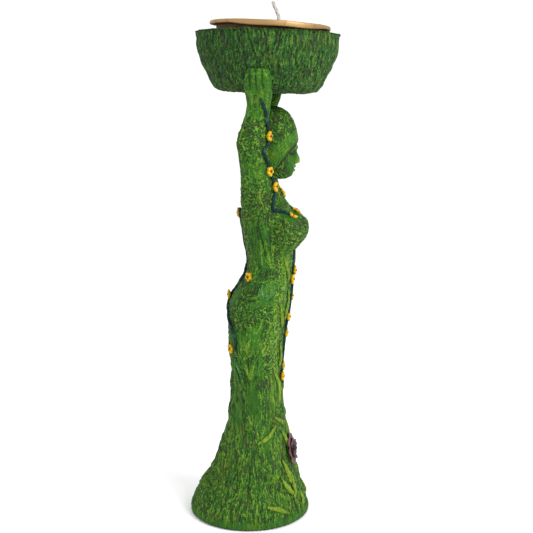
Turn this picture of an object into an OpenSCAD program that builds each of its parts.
// Clay tree of life: a woman grown out of a mossy trunk, who holds a bowl for a tealight over her head.
// Row frame: +Z up, the figure faces -Y, her left side is +X.
// The origin is the centre of the foot on the table.
// All sizes are in millimetres.

/* [Trunk] */
// Radius of the flared foot
foot_r = 24.3; // [23.7:0.1:24.8]
// Clay wall round the hollow trunk
wall = 4.5; // [3.5:0.5:5.5]
// Thickness of the felt pad under the foot
felt_t = 0.6; // [0.4:0.1:0.8]

/* [Bowl] */
// Outer radius of the bowl at its rim
bowl_r = 27.8; // [26.5:0.1:28.5]
// Height of the bowl's rim above the table
rim_z = 189; // [188.8:0.1:189.2]
// Radius of the straight recess in the bowl
recess_r = 21.2; // [21:0.1:22]
// Depth of the recess
recess_depth = 15.3; // [15.3:0.1:16.5]

/* [Candle] */
// Outer radius of the brass cup's body
cup_r = 20.2; // [20:0.1:20.4]
// Depth of the brass cup below its lip
cup_depth = 17; // [16.5:0.1:17]
// Radius of the standard tealight
tealight_r = 19; // [18.5:0.1:19.2]
// Height of the tealight's aluminium cup
tealight_h = 15.5; // [14:0.5:16]
// Lean of the brass cup in its recess, in degrees
cup_lean = 3.1; // [0:0.1:3.3]
// Diameter of the wick
wick_d = 1.4; // [1:0.1:1.6]

/* [Trimmings] */
// Radius of a vine
vine_r = 0.75; // [0.6:0.05:0.9]
// Radius of a small flower
flower_r = 1.9; // [1.5:0.1:2.2]
// Radius of the large flower on the skirt
bloom_r = 6.6; // [5.5:0.1:7]

/* [Hidden] */
$fn = 64;

moss = "#3f7f2a";
bark = "#35702a";
vine_green = "#2b4d47";
petal_yellow = "#f2b705";
eye_red = "#8c1c13";
blade_green = "#86a82a";
bloom_mauve = "#6b3a45";
gold = "#c08a3e";

skirt_top = 58;
waist_z = 99;
shoulder_z = 124;
chin_z = 133;
bowl_y = -7.5;
trunk_sides = 40;
limb_sides = 26;
head_sides = 36;
slip = 0.15; // gap of a tenon in its socket, filled with slip
sunk = 0.35; // how deep a trimming is pressed into the clay

// Trunk sections: height, front y, back y, half width
trunk = [
    [felt_t, -foot_r + 0.3, foot_r - 0.3, foot_r - 0.3],
    [2.2, -foot_r, foot_r, foot_r],
    [5, -23.4, 23.5, 23.4],
    [8.5, -22.0, 21.3, 21.8],
    [12, -20.6, 18.7, 19.8],
    [16, -19.5, 15.8, 17.8],
    [21, -18.1, 13.4, 16.1],
    [27, -16.4, 11.2, 14.7],
    [34, -15.2, 9.0, 13.6],
    [41, -14.2, 7.5, 13.0],
    [49, -13.3, 7.0, 12.9],
    [58, -12.9, 6.7, 13.6],
    [66, -13.2, 7.9, 14.9],
    [74, -14.3, 8.2, 16.2],
    [82, -15.5, 7.9, 17.0],
    [87.5, -16.2, 7.4, 17.0],
    [91.5, -16.6, 5.2, 16.2],
    [95, -17.0, 2.8, 14.9],
    [99, -17.3, 0.8, 13.4],
    [103, -17.4, 0.5, 12.7],
    [108, -17.4, 1.1, 13.0],
    [113, -17.0, 2.1, 14.2],
    [118, -16.6, 2.8, 15.5],
    [121.5, -16.4, 3.0, 16.0],
    [shoulder_z, -16.0, 2.9, 15.9]
];
neck_rings = [
    [shoulder_z, -16.2, 2.4, 6.3],
    [126, -14.9, 0.6, 5.8],
    [128.5, -12.8, -1.0, 5.3],
    [131, -11.0, -1.8, 5.1],
    [chin_z + 1, -11.0, -1.6, 5.0]
];
// Head sections: height, front y, back y, half width
skull = [
    [chin_z + 1, -14.4, -1.0, 4.3],
    [135.2, -16.2, 0.1, 5.9],
    [138, -17.7, 0.9, 7.3],
    [142, -18.6, 1.4, 8.4],
    [147, -18.9, 1.6, 9.0],
    [151.5, -18.3, 1.3, 8.9],
    [155.5, -17.1, 0.5, 8.1],
    [158.5, -15.3, -1.1, 6.5],
    [160.4, -13.1, -3.3, 4.4],
    [161.4, -10.6, -6.0, 1.7]
];
// Arm sections: height, x of the centre, y of the centre, half width, half depth
arm = [
    [shoulder_z, 11.3, -5.2, 4.5, 6.6],
    [130, 12.2, -5.4, 4.9, 6.5],
    [137, 13.3, -4.9, 4.8, 5.9],
    [143, 14.1, -4.2, 4.6, 5.7],
    [149, 14.7, -3.9, 4.6, 5.9],
    [153, 15.0, -4.5, 4.3, 5.4],
    [157, 15.3, -5.6, 3.9, 4.6],
    [161, 15.8, -6.4, 3.7, 4.3],
    [164, 17.1, -6.8, 3.8, 4.8],
    [168, 20.2, -7.0, 3.3, 5.1],
    [171, 22.3, -7.4, 2.2, 4.8],
    [173.6, 23.8, -7.6, 1.3, 4.4],
    [174.9, 24.4, -7.6, 0.5, 3.7]
];
// Height, and how much further back the left arm is there than the right one
left_set_back = [[shoulder_z, 0], [129, 1.4], [134, 2], [165, 2], [174.9, 1]];

// Cubic through column k of a table whose column 0 rises, at value z
function slope(t, i, k) =
    let (a = max(i - 1, 0), b = min(i + 1, len(t) - 1)) (t[b][k] - t[a][k]) / (t[b][0] - t[a][0]);
function at(t, z, k) =
    let (
        below = [for (j = [0 : len(t) - 2]) if (z >= t[j][0]) j],
        i = len(below) == 0 ? 0 : below[len(below) - 1],
        h = t[i + 1][0] - t[i][0],
        u = min(max((z - t[i][0]) / h, 0), 1),
        m0 = slope(t, i, k) * h,
        m1 = slope(t, i + 1, k) * h
    )
    (2 * pow(u, 3) - 3 * u * u + 1) * t[i][k] + (pow(u, 3) - 2 * u * u + u) * m0
        + (3 * u * u - 2 * pow(u, 3)) * t[i + 1][k] + (pow(u, 3) - u * u) * m1;

// A point on a front-back section table: a is 0 at the front, 90 at her left and -90 at her right
function skin(t, z, a, out = 0) =
    let (f = at(t, z, 1), b = at(t, z, 2), w = at(t, z, 3))
    [(w + out) * sin(a), (f + b) / 2 - ((b - f) / 2 + out) * cos(a), z];
// A point on an arm: side is 1 for the left arm, and b turns from the front to the outside
function limb(side, z, b, out = 0) = [
    side * (at(arm, z, 1) + (at(arm, z, 3) + out) * sin(b)),
    at(arm, z, 2) + (side > 0 ? at(left_set_back, z, 1) : 0) - (at(arm, z, 4) + out) * cos(b),
    z
];

function ring(t, z, n, out = 0) = [for (j = [0 : n - 1]) skin(t, z, 360 * j / n, out)];
function limb_ring(side, z) = [for (j = [0 : limb_sides - 1]) limb(side, z, side * 360 * j / limb_sides)];
function steps(z0, z1, n) = [for (i = [0 : n]) z0 + (z1 - z0) * i / n];
function unit(v) = v / norm(v);

// A closed solid through a list of rings of equal length, which turn from the front to her left
module loft(rings) {
    n = len(rings[0]);
    last = len(rings) - 1;
    polyhedron(
        points = [for (r = rings) for (p = r) p],
        faces = concat(
            [[for (j = [0 : n - 1]) j]],
            [for (i = [0 : last - 1]) for (j = [0 : n - 1]) let (k = (j + 1) % n)
                [i * n + j, (i + 1) * n + j, (i + 1) * n + k, i * n + k]],
            [[for (j = [n - 1 : -1 : 0]) last * n + j]]
        ),
        convexity = 6
    );
}

module tenon(z, y, r, length) {
    translate([0, y, z]) cylinder(r = r, h = length);
}

// ---- body ----
tenon_len = 5;
hip_tenon_y = -3.3;
waist_tenon_y = -8.6;
neck_tenon_y = -7;
arm_tenon_r = 2.2;
cavity_top = 50;
bust_x = 8;
bust_y = -15.8;
bust_z = 114.2;
bust_r = 7;

module felt_pad() {
    color("#2c3a2c") cylinder(r = foot_r - 1.4, h = felt_t);
}

// Hollow flared trunk, open below where the felt pad closes it, with a socket for the hips' tenon
module skirt_trunk() {
    color(bark) difference() {
        loft(concat(
            [for (z = concat([cavity_top + 1.4], steps(cavity_top, felt_t, 9)))
                ring(trunk, z, trunk_sides, z > cavity_top ? -wall - 3 : -wall)],
            [for (z = concat([felt_t, 1, 2.2], steps(4, skirt_top, 18))) ring(trunk, z, trunk_sides)]
        ));
        tenon(skirt_top - tenon_len - slip, hip_tenon_y, 5 + slip, tenon_len + 1);
    }
}

module hips() {
    color(moss) difference() {
        union() {
            loft([for (z = steps(skirt_top, waist_z, 18)) ring(trunk, z, trunk_sides)]);
            tenon(skirt_top - tenon_len, hip_tenon_y, 5, tenon_len + 0.5);
        }
        tenon(waist_z - tenon_len - slip, waist_tenon_y, 4.5 + slip, tenon_len + 1);
    }
}

module torso() {
    color(moss) difference() {
        union() {
            loft([for (z = steps(waist_z, shoulder_z, 13)) ring(trunk, z, trunk_sides)]);
            tenon(waist_z - tenon_len, waist_tenon_y, 4.5, tenon_len + 0.5);
        }
        tenon(shoulder_z - tenon_len - slip, neck_tenon_y, 2.8 + slip, tenon_len + 1);
        for (side = [-1, 1])
            translate([side * arm[0][1], 0, 0])
                tenon(shoulder_z - tenon_len - slip, arm[0][2], arm_tenon_r + slip, tenon_len + 1);
    }
}

module breast(side) {
    color(moss) translate([side * bust_x, bust_y, bust_z]) sphere(r = bust_r);
}

module neck() {
    color(moss) union() {
        loft([for (z = steps(shoulder_z, chin_z + 1, 7)) ring(neck_rings, z, limb_sides)]);
        tenon(shoulder_z - tenon_len, neck_tenon_y, 2.8, tenon_len + 0.5);
        tenon(chin_z + 0.5, neck_tenon_y, 2.8, tenon_len);
    }
}

module head_shape(out = 0) {
    loft([for (z = concat(steps(chin_z + 1, 158.5, 15), [159.5, 160.4, 161, 161.4 + out / 2]))
        ring(skull, min(z, 161.4), head_sides, out + (z < 134.1 ? -0.2 : 0))]);
}

module head() {
    color(moss) difference() {
        head_shape();
        tenon(chin_z, neck_tenon_y, 2.8 + slip, tenon_len + 0.5 + slip);
    }
}

// A cap of hair behind the brow, with locks that fall between the arms to the shoulders
module hair() {
    brow = [0, -19.6, 149.1];
    color(bark) difference() {
        union() {
            intersection() {
                translate([0, 0, 0.4]) head_shape(0.65);
                translate(brow) rotate([37, 0, 0]) translate([-20, 0, -40]) cube([40, 60, 80]);
            }
            for (x = [-5.6 : 1.4 : 5.6])
                for (i = [0 : 2]) hull() {
                    lock_bead(x, i);
                    lock_bead(x, i + 1);
                }
        }
        head_shape();
        loft([for (z = steps(shoulder_z, chin_z + 1, 9)) ring(neck_rings, z, limb_sides, 0.3)]);
        translate([-20, -20, shoulder_z - 20]) cube([40, 40, 20]);
    }
}
module lock_bead(x, i) {
    heights = [124.4, 130, 138, 146];
    backs = [1.6, 0.6, 1.2, 1.0];
    translate([x * (0.86 + 0.05 * i), backs[i], heights[i]]) sphere(r = 1.6, $fn = 10);
}

module arm_shape(side) {
    heights = concat(steps(shoulder_z, 171, 15), [172.4, 173.6, 174.5, 174.9]);
    loft([for (z = heights) side > 0 ? limb_ring(1, z) : limb_ring(-1, z)]);
}

// A raised arm whose palm lies against the bowl
module raised_arm(side) {
    color(moss) union() {
        difference() {
            arm_shape(side);
            bowl_frame() bowl_blank();
        }
        translate([side * arm[0][1], 0, 0])
            tenon(shoulder_z - tenon_len, arm[0][2], arm_tenon_r, tenon_len + 0.5);
    }
}

// ---- bowl: everything here is drawn with the rim's centre at the origin ----
bowl_lean = 1.5;
// Depth below the rim and the share of the rim's radius there
bowl_side = [
    [-22.7, 0.6], [-21.8, 0.69], [-19.2, 0.765], [-16, 0.825],
    [-12.5, 0.885], [-8, 0.945], [-4, 0.98], [0, 1]
];
module bowl_frame() {
    translate([0, bowl_y, rim_z]) rotate([bowl_lean, 0, 0]) children();
}
module bowl_blank() {
    depth = bowl_side[0][0];
    rotate_extrude() polygon(concat(
        [[0, 0], [0, depth]],
        [for (d = steps(depth, 0, 18)) [bowl_r * at(bowl_side, d, 1), d]]
    ));
}
module bowl() {
    color(bark) bowl_frame() difference() {
        bowl_blank();
        translate([0, 0, -recess_depth]) cylinder(r = recess_r, h = recess_depth + 1);
    }
}

// ---- vines ----
// A vine is a chain of short rods through points that lie on the clay
module vine(points, r = vine_r) {
    color(vine_green) for (i = [0 : len(points) - 2]) hull() {
        vine_bead(points, i, r);
        vine_bead(points, i + 1, r);
    }
}
// The two ends taper to half the thickness
module vine_bead(points, i, r) {
    last = len(points) - 1;
    translate(points[i]) sphere(r = i == 0 || i == last ? r * 0.5 : r, $fn = 8);
}
// Points between the hand-picked ones, so that a vine bends smoothly
function bend(w, n = 3) = [for (i = [0 : len(w) - 2]) for (k = [0 : n - 1])
    let (
        u = k / n,
        m0 = (w[i + 1] - w[max(i - 1, 0)]) / 2,
        m1 = (w[min(i + 2, len(w) - 1)] - w[i]) / 2
    )
    (2 * pow(u, 3) - 3 * u * u + 1) * w[i] + (pow(u, 3) - 2 * u * u + u) * m0
        + (3 * u * u - 2 * pow(u, 3)) * w[i + 1] + (pow(u, 3) - u * u) * m1];
function on_trunk(w) = [for (p = w) skin(trunk, p[0], p[1], vine_r - sunk)];
function on_arm(side, w) = [for (p = w) limb(side, p[0], p[1], vine_r - sunk)];

// Height and turn of the points that each vine passes
right_arm_route = [[164.4, 78], [161, 54], [156.7, 29], [153.4, 8], [150.8, 3], [148.2, 5], [145.8, 40],
    [143.2, 34], [140.6, 16], [138, 26], [135.4, 8], [132.2, 2], [129, 12], [125.8, 20]];
left_arm_route = [[164.4, 78], [161, 60], [156.7, 48], [153.4, 40], [150.8, 44], [148.2, 52], [145.8, 66],
    [143.2, 64], [140.6, 54], [138, 60], [135.4, 52], [132.2, 50], [129, 46], [125.8, 34]];
// From the arm the vine runs over the chest to the top of the breast
chest_route = [[13.6, -11.4, 123.4], [10.6, -13.9, 122.9], [8.2, -15.5, 122.2], [8.0, -16.8, 121.5],
    [8.8, -18.1, 120.8], [9.9, -19.2, 119.9]];
module arm_vine(side) {
    vine(bend(concat(
        on_arm(side, side > 0 ? left_arm_route : right_arm_route),
        [for (p = chest_route) [side * p[0], p[1], p[2]]]
    ), 2));
}

spine_route = [[123.2, 196], [121, 186], [117, 179], [112, 184], [107, 179], [103, 175], [100, 180],
    [97.2, 186]];
right_hip_route = [[101.6, 188], [98.6, 199], [96.4, 198], [91.6, 192], [88.4, 190], [84.4, 196], [81, 210],
    [78, 224], [75.2, 235], [71.6, 239], [67.6, 236]];
left_hip_route = [[95.6, 170], [92, 160], [90, 146], [87, 134], [82.6, 126], [78, 120], [73, 121],
    [69, 128], [65.5, 130]];
front_route = [[117.6, 2], [113.5, -2], [109, 3], [104, 4], [99.6, -2], [95, 3], [90, 7], [85, 2], [80, -4],
    [75, -1], [70, 5], [65, 4], [60, -2], [55.6, 1], [51, 4]];

// ---- small flowers ----
// Places its children at a point on the clay, with +Z along the outward direction
module stand_on(p, out) {
    d = unit(out);
    translate(p) rotate([0, acos(d[2]), atan2(d[1], d[0])]) children();
}
function outward(t, z, a) = skin(t, z, a, 1) - skin(t, z, a, 0);

petals = 5;
petal_steps = 6;
// Five round petals in one dished disc
function petal_edge(i) = 0.74 + 0.26 * pow(abs(sin(i * 180 / petal_steps)), 0.7);
module petal_disc() {
    n = petals * petal_steps;
    loft([
        [for (i = [0 : n - 1]) 0.55 * flower_r * [cos(360 * i / n), sin(360 * i / n), -0.2]],
        [for (i = [0 : n - 1]) flower_r * petal_edge(i) * [cos(360 * i / n), sin(360 * i / n), 0]
            + [0, 0, 0.55]],
        [for (i = [0 : n - 1]) 0.9 * flower_r * petal_edge(i) * [cos(360 * i / n), sin(360 * i / n), 0]
            + [0, 0, 0.95]],
        [for (i = [0 : n - 1]) 0.3 * flower_r * [cos(360 * i / n), sin(360 * i / n), 0] + [0, 0, 0.75]]
    ]);
}
module petal_group(spots) {
    color(petal_yellow) for (s = spots) stand_on(s[0], s[1]) rotate([0, 0, s[2]]) petal_disc();
}
module eye_group(spots) {
    color(eye_red) for (s = spots) stand_on(s[0], s[1]) translate([0, 0, 0.8]) sphere(r = 0.52);
}
// A spot is a point, an outward direction and a turn of the petals
function arm_spot(side, z, b, lift, turn) =
    [limb(side, z, b, lift), limb(side, z, b, 1) - limb(side, z, b, 0), turn];
function trunk_spot(z, a, lift, turn) = [skin(trunk, z, a, lift), outward(trunk, z, a), turn];

right_arm_flowers = [[150.8, 14, 10], [138, 28, 40], [132.2, 10, 60]];
left_arm_flowers = [[152.4, 44, 25], [139.4, 58, 5], [128.4, 46, 50]];
function arm_spots(side) =
    [for (f = side > 0 ? left_arm_flowers : right_arm_flowers) arm_spot(side, f[0], f[1], 1.0, f[2])];
chest_spots = [
    [[-8.2, -18.4, 120.9], [-0.1, -0.5, 0.86], 15],
    [[7.6, -17.5, 121.2], [0.1, -0.5, 0.86], 50],
    [[2.6, -13.0, 128.4], [0.2, -0.9, 0.4], 30]
];
back_spots = [trunk_spot(121, 184, 0.9, 20), trunk_spot(108.6, 166, 0.5, 45), trunk_spot(99.6, 172, 0.4, 0)];
hip_spots = [
    trunk_spot(97.4, 230, 0.2, 10), trunk_spot(88.9, 189, 0.9, 30), trunk_spot(69, 222, 0.3, 55),
    trunk_spot(91.2, 150, 0.7, 0), trunk_spot(80.2, 121, 0.6, 25), trunk_spot(66.4, 135, 0.5, 15)
];
front_spots = [
    trunk_spot(98.6, 3, 0.7, 0), trunk_spot(95.4, -5, 0.4, 35), trunk_spot(88, 10, 0.4, 20),
    trunk_spot(80.4, -3, 0.6, 50), trunk_spot(73.6, 3, 0.5, 10), trunk_spot(60, 3, 0.6, 0),
    trunk_spot(56.2, -4, 0.6, 40)
];

// ---- leaves and grass ----
// A blade lies on the clay along points [height, turn], widest at share belly of its length
module blade(w, width, thick, belly = 0.4) {
    pts = bend([for (p = w) skin(trunk, p[0], p[1])], 4);
    outs = bend([for (p = w) outward(trunk, p[0], p[1])], 4);
    last = len(pts) - 1;
    loft([for (i = [0 : last])
        let (
            along = unit(pts[min(i + 1, last)] - pts[max(i - 1, 0)]),
            out = unit(outs[i]),
            across = cross(out, along),
            s = i / last,
            share = s < belly ? 0.5 * s / belly : 0.5 + 0.5 * (s - belly) / (1 - belly),
            swell = 0.16 + 0.84 * sin(180 * share),
            half = width / 2 * swell
        )
        [
            pts[i] - across * half - out * 0.1,
            pts[i] - out * sunk,
            pts[i] + across * half - out * 0.1,
            pts[i] + across * half * 0.45 + out * thick * swell,
            pts[i] - across * half * 0.45 + out * thick * swell
        ]]);
}

// Each blade: its points as [height, turn], from root to tip, and its width
right_blades = [
    [[[14.5, -27], [17.5, -28], [21.5, -31], [25.5, -36]], 1.8],
    [[[8.6, -25], [12, -29.5], [15.5, -38], [18.6, -45]], 1.9],
    [[[9.2, -23], [12.5, -21], [16.5, -20], [19.5, -22]], 1.6],
    [[[5.5, -42], [7, -49], [8, -57], [8.8, -64]], 1.6],
    [[[4.5, -14], [8, -11], [11.5, -13]], 1.5],
    [[[46.4, -27], [50, -20], [54, -20], [57.5, -29], [60.5, -40]], 1.6],
    [[[37.5, -18], [39.5, -28], [41.8, -45]], 1.4],
    [[[27.5, -10], [30.5, -14], [33.5, -22], [36, -29]], 1.6],
    [[[32, -78], [33.5, -64], [36, -50], [38.8, -38]], 1.3],
    [[[61, -19], [66, -13], [72, -24]], 1.3],
    [[[77, -24], [82, -30], [88, -39]], 1.3],
    [[[80, -19], [86, -12], [93, -17]], 1.2],
    [[[95.5, -24], [101, -35], [106.5, -46]], 1.3]
];
left_blades = [for (b = right_blades) [[for (p = b[0]) [p[0] + 1, -p[1] + 3]], b[1]]];
module grass(blades) {
    color(blade_green) for (b = blades) blade(b[0], b[1], 0.7);
}
// Long leaves on the back of the skirt
back_blades = [
    [[[66, -127], [59, -115], [51, -103]], 1.7], [[[62, -133], [55, -121], [46, -108]], 1.5],
    [[[66, 127], [58, 116], [49, 104]], 1.7], [[[61, 134], [54, 122], [45, 109]], 1.5],
    [[[60, 158], [50, 165], [40, 166]], 2.6], [[[57, -158], [47, -166], [36, -164]], 2.6]
];
module back_leaves() {
    color(moss) for (b = back_blades) blade(b[0], b[1], 0.8, 0.3);
}
// A broad ribbed leaf over the thigh
module fern_leaf(side) {
    middle = [[90.4, side * 86], [92.4, side * 74], [93.2, side * 60], [92.8, side * 46]];
    color(moss) blade(middle, 7.4, 0.6, 0.45);
}

// ---- large flower on the front of the skirt ----
bloom_z = 26;
module on_bloom() {
    stand_on(skin(trunk, bloom_z, 0, -0.25), [0, -1, 0.2]) children();
}
// One rounded petal that stands on the middle of the flower, along +X
module bloom_petal(reach, width, rise) {
    n = 10;
    loft([for (i = [0 : 4])
        let (s = i / 4, half = width / 2 * (0.35 + 0.65 * sin(180 * min(s * 0.62 + 0.1, 0.9))))
        [for (j = [0 : n - 1]) let (q = 360 * j / n)
            [s * reach, half * cos(q), rise * s + (0.32 + 0.2 * s) * sin(q) + 0.5]]]);
}
module bloom_ring(count, reach, width, rise, turn) {
    color(bloom_mauve) on_bloom() for (i = [0 : count - 1])
        rotate([0, 0, turn + 360 * i / count]) translate([0.8, 0, 0]) bloom_petal(reach, width, rise);
}
module bloom_heart() {
    color(bloom_mauve) on_bloom() translate([0, 0, 1.9]) sphere(r = 1.2);
}

// ---- candle: everything here leans with the brass cup, whose lip is at z = 0 ----
cup_mouth = [0, bowl_y - 0.8, rim_z + 2.35];
cup_wall = 0.6;
lip_r = 22.8;
lip_drop = 0.9;
lip_rise = 0.7;
tealight_wall = 0.3;
tealight_floor = -cup_depth + cup_wall + 0.02;
wax_top = tealight_floor + tealight_wall + 12.2;
holder_r = 6.5;
collar_r = 1.3;
collar_h = 3;
module leaning() {
    translate(cup_mouth) rotate([cup_lean, 0, 0]) children();
}

// Spun brass cup with a flared lip that turns down at its edge
module candle_cup() {
    color(gold) leaning() rotate_extrude() polygon([
        [0, -cup_depth], [cup_r - 1, -cup_depth], [cup_r - 0.3, -cup_depth + 0.3], [cup_r, -cup_depth + 1],
        [cup_r, -1.0], [cup_r + 0.5, -0.62], [lip_r - 1.2, -0.62], [lip_r - 0.5, -lip_drop],
        [lip_r - 0.15, -lip_drop + 0.1], [lip_r, -0.5], [lip_r, 0.1], [lip_r - 0.2, lip_rise - 0.1],
        [lip_r - 0.5, lip_rise], [lip_r - 0.8, lip_rise - 0.15], [lip_r - 1.4, 0.05], [cup_r + 0.3, 0],
        [cup_r - 0.3, -0.25], [cup_r - cup_wall, -0.8], [cup_r - cup_wall, -cup_depth + 1.2],
        [cup_r - cup_wall - 0.6, -cup_depth + cup_wall], [0, -cup_depth + cup_wall]
    ]);
}

// Thin aluminium cup of a standard tealight, with a rolled rim
module tealight_cup() {
    r = tealight_r;
    top = tealight_floor + tealight_h;
    color("#c9ccd0") leaning() rotate_extrude() polygon([
        [0, tealight_floor], [r - 1, tealight_floor], [r - 0.2, tealight_floor + 0.8], [r, top - 0.5],
        [r + 0.25, top - 0.4], [r + 0.3, top - 0.1], [r + 0.1, top], [r - tealight_wall, top],
        [r - tealight_wall, tealight_floor + 1], [r - 1.1, tealight_floor + tealight_wall],
        [0, tealight_floor + tealight_wall]
    ]);
}

// Wax disc with a hole for the wick and room below for the wick holder
module tealight_wax() {
    r = tealight_r - tealight_wall - 0.1;
    base = tealight_floor + tealight_wall;
    color("#efe9dc") leaning() difference() {
        rotate_extrude() polygon([
            [0, base + 0.02], [r - 1, base + 0.02], [r, base + 1], [r, wax_top], [r - 0.7, wax_top - 0.25],
            [0, wax_top - 0.25]
        ]);
        translate([0, 0, base - 1]) cylinder(r = wick_d / 2 + 0.05, h = 20);
        translate([0, 0, base - 1]) cylinder(r = holder_r + 0.1, h = 1.45);
        translate([0, 0, base - 1]) cylinder(r = collar_r + 0.1, h = collar_h + 1.2);
    }
}

// Pressed steel disc and collar that hold the wick upright
module wick_holder() {
    base = tealight_floor + tealight_wall + 0.05;
    color("#aeb2b6") leaning() difference() {
        union() {
            translate([0, 0, base]) cylinder(r = holder_r, h = 0.3);
            translate([0, 0, base]) cylinder(r = collar_r, h = collar_h);
        }
        translate([0, 0, base - 1]) cylinder(r = wick_d / 2 + 0.03, h = 10);
    }
}

// Cotton wick: straight through the wax, then bent over above it
wick_route = [[0, 0, wax_top - 0.2], [0, -1.4, wax_top + 2.2], [0.1, -3.0, wax_top + 5.2],
    [0.1, -3.1, wax_top + 7.6], [0, -1.9, wax_top + 10], [-0.1, -0.5, wax_top + 12.4]];
module wick() {
    base = tealight_floor + tealight_wall + 0.1;
    bent = concat(bend(wick_route, 3), [wick_route[len(wick_route) - 1]]);
    color("#e8e4d8") leaning() union() {
        translate([0, 0, base]) cylinder(r = wick_d / 2, h = wax_top - 0.2 - base);
        for (i = [0 : len(bent) - 2]) hull() {
            translate(bent[i]) sphere(r = wick_d / 2, $fn = 12);
            translate(bent[i + 1]) sphere(r = wick_d / 2, $fn = 12);
        }
    }
}

felt_pad();
skirt_trunk();
hips();
torso();
breast(-1);  // right_breast
breast(1);  // left_breast
neck();
head();
hair();
raised_arm(-1);  // right_arm
raised_arm(1);  // left_arm
bowl();
arm_vine(-1);  // right_arm_vine
arm_vine(1);  // left_arm_vine
vine(bend(on_trunk(spine_route)));  // spine_vine
vine(bend(on_trunk(right_hip_route)));  // right_hip_vine
vine(bend(on_trunk(left_hip_route)));  // left_hip_vine
vine(bend(on_trunk(front_route), 2));  // front_vine
petal_group(arm_spots(-1));  // right_arm_petals
eye_group(arm_spots(-1));  // right_arm_flower_eyes
petal_group(arm_spots(1));  // left_arm_petals
eye_group(arm_spots(1));  // left_arm_flower_eyes
petal_group(chest_spots);  // chest_petals
eye_group(chest_spots);  // chest_flower_eyes
petal_group(back_spots);  // back_petals
eye_group(back_spots);  // back_flower_eyes
petal_group(hip_spots);  // hip_petals
eye_group(hip_spots);  // hip_flower_eyes
petal_group(front_spots);  // front_petals
eye_group(front_spots);  // front_flower_eyes
grass(right_blades);  // right_grass
grass(left_blades);  // left_grass
fern_leaf(-1);  // right_fern_leaf
fern_leaf(1);  // left_fern_leaf
back_leaves();
bloom_ring(8, 5.6, 4.4, 0.5, 0);  // bloom_outer_petals
bloom_ring(6, 3.6, 3.2, 1.4, 22);  // bloom_inner_petals
bloom_heart();
candle_cup();
tealight_cup();
tealight_wax();
wick();
wick_holder();
